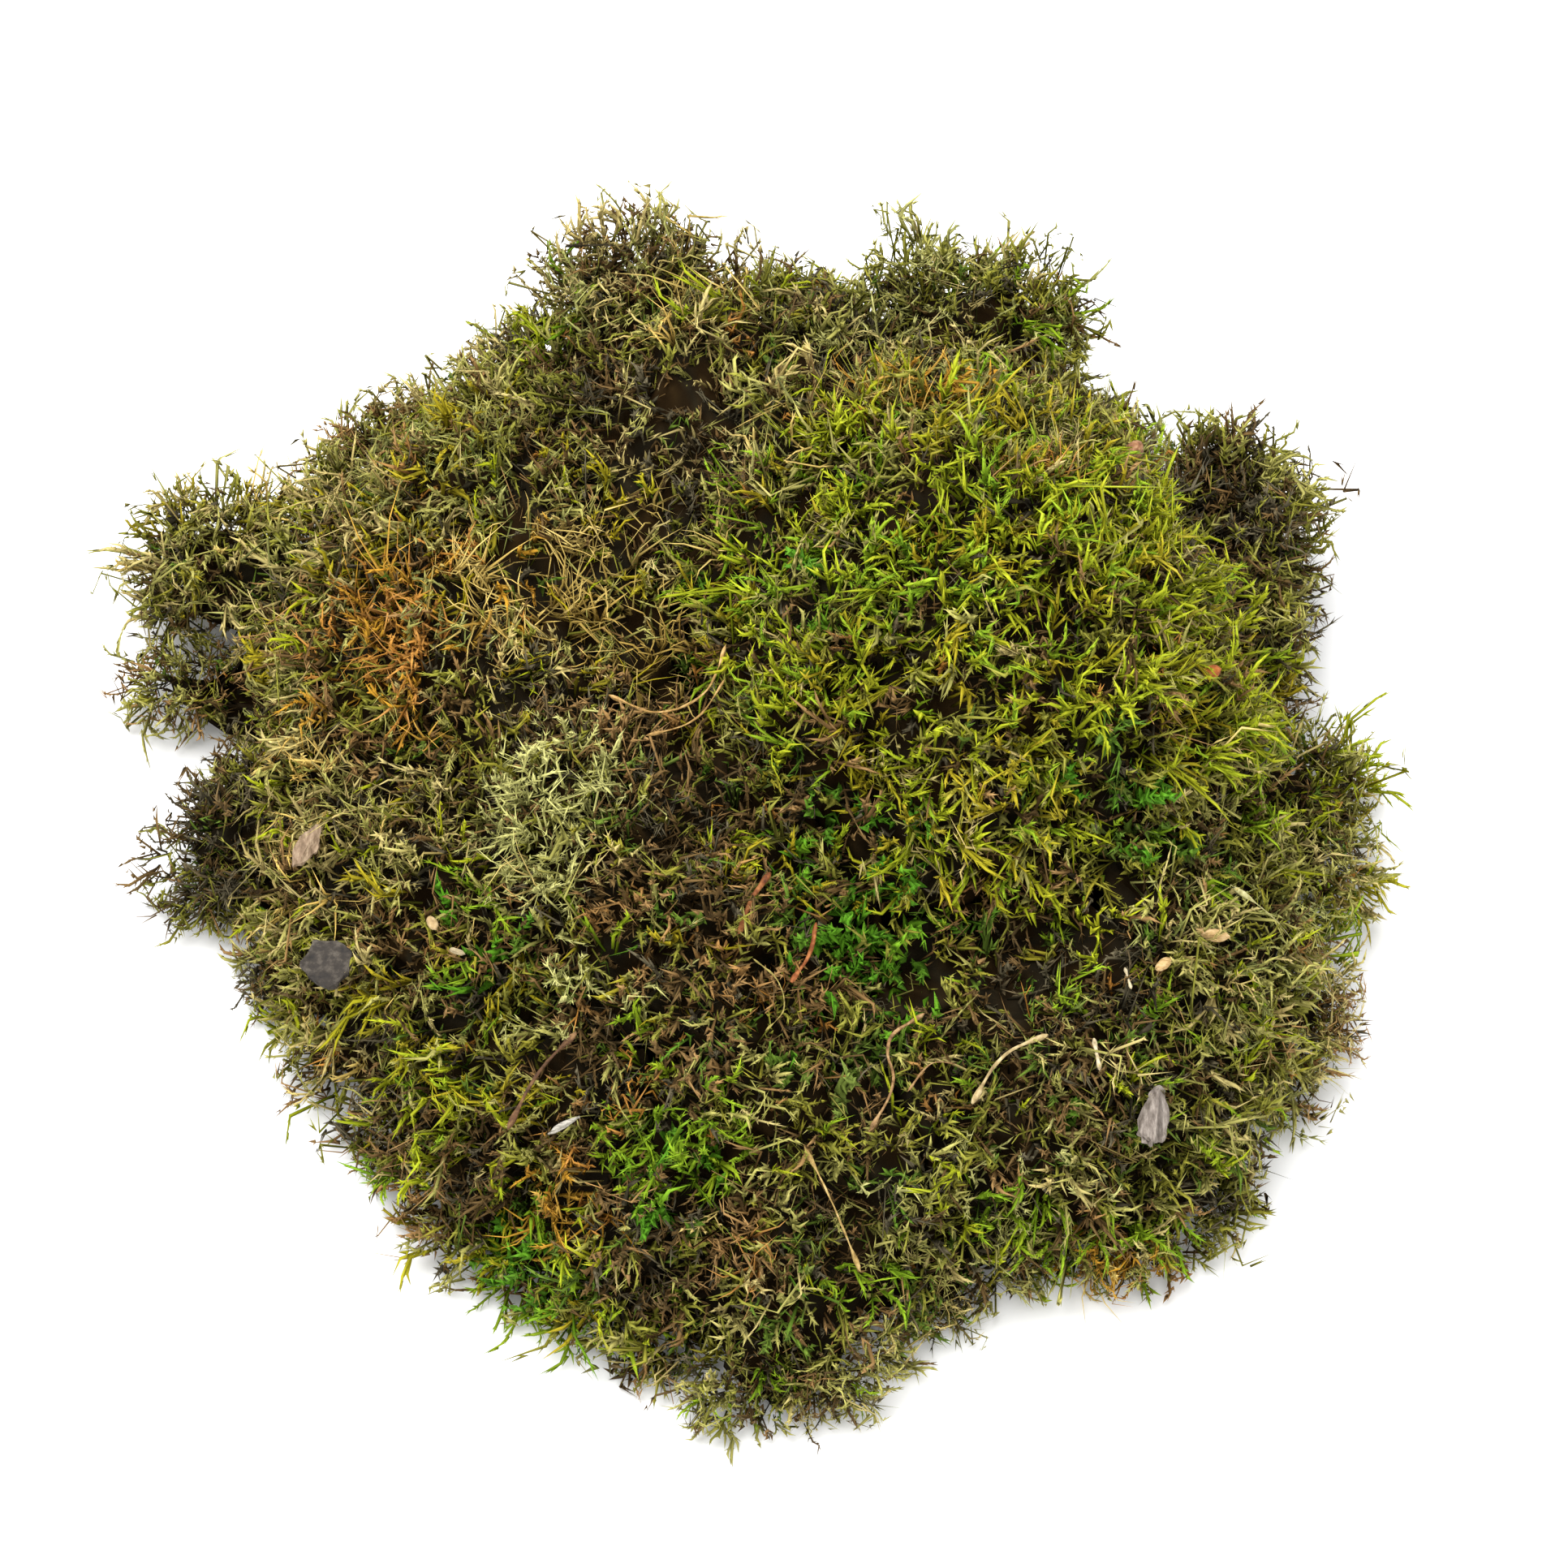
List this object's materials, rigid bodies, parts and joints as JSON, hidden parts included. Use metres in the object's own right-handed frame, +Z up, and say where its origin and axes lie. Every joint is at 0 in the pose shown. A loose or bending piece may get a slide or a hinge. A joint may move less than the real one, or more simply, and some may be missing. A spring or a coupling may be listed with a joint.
{
  "type": "moss clump",
  "caption": "A torn-up clump of mixed woodland moss, domed and matted, with twigs, bark and dead leaves caught on it",
  "frame": {"origin": "the middle of the bounding box, on the surface the clump rests on", "axes": "+Z up, -Y towards the viewer, +X to the viewer's right"},
  "size_m": [0.2112, 0.2072, 0.0834],
  "materials": {
    "crown_moss": "soft, springy",
    "olive_moss": "soft, matted",
    "tan_moss": "soft, dry tips",
    "dark_moss": "soft, damp",
    "pale_moss": "feathery",
    "brown_moss": "matted, dead",
    "bark": "rough, weathered",
    "twig": "dry, matte",
    "dry_leaf": "dry, brittle",
    "straw": "dry, smooth"
  },
  "bodies": {
    "root": {"crown_mat": "crown_moss", "back_mat": "olive_moss", "left_shoulder_mat": "tan_moss", "centre_mat": "dark_moss", "left_flank_mat": "tan_moss", "right_flank_mat": "olive_moss", "front_right_mat": "olive_moss", "front_left_mat": "olive_moss", "front_mat": "olive_moss", "pale_tuft": "pale_moss", "back_left_tuft": "tan_moss", "back_right_tuft": "pale_moss", "left_brown_bump": "brown_moss", "front_tongue": "dark_moss", "front_tan_lobe": "tan_moss", "front_small_tuft": "olive_moss", "right_dark_lobe": "dark_moss", "right_frond_lobe": "olive_moss", "right_brown_lobe": "brown_moss", "left_upper_lobe": "olive_moss", "left_middle_lobe": "brown_moss", "left_dark_lobe": "dark_moss", "left_low_lobe": "dark_moss", "brown_twig": "twig", "rust_strip_1": "twig", "rust_strip_2": "twig", "dry_stem": "straw", "dry_side_stem": "straw", "pale_twig": "twig", "tan_long_stem": "straw", "curly_stalk": "straw", "curved_stem_1": "straw", "curved_stem_2": "straw", "straw_thread": "straw", "pale_needle_1": "straw", "pale_needle_2": "straw", "bark_flake": "bark", "pointed_leaf": "dry_leaf", "curled_leaf": "dry_leaf", "white_splinter": "straw", "pale_chip": "straw", "pale_seed": "straw", "tan_husk_1": "straw", "tan_husk_2": "straw", "cone_scale": "twig", "orange_flake": "twig"}
  },
  "joints": []
}
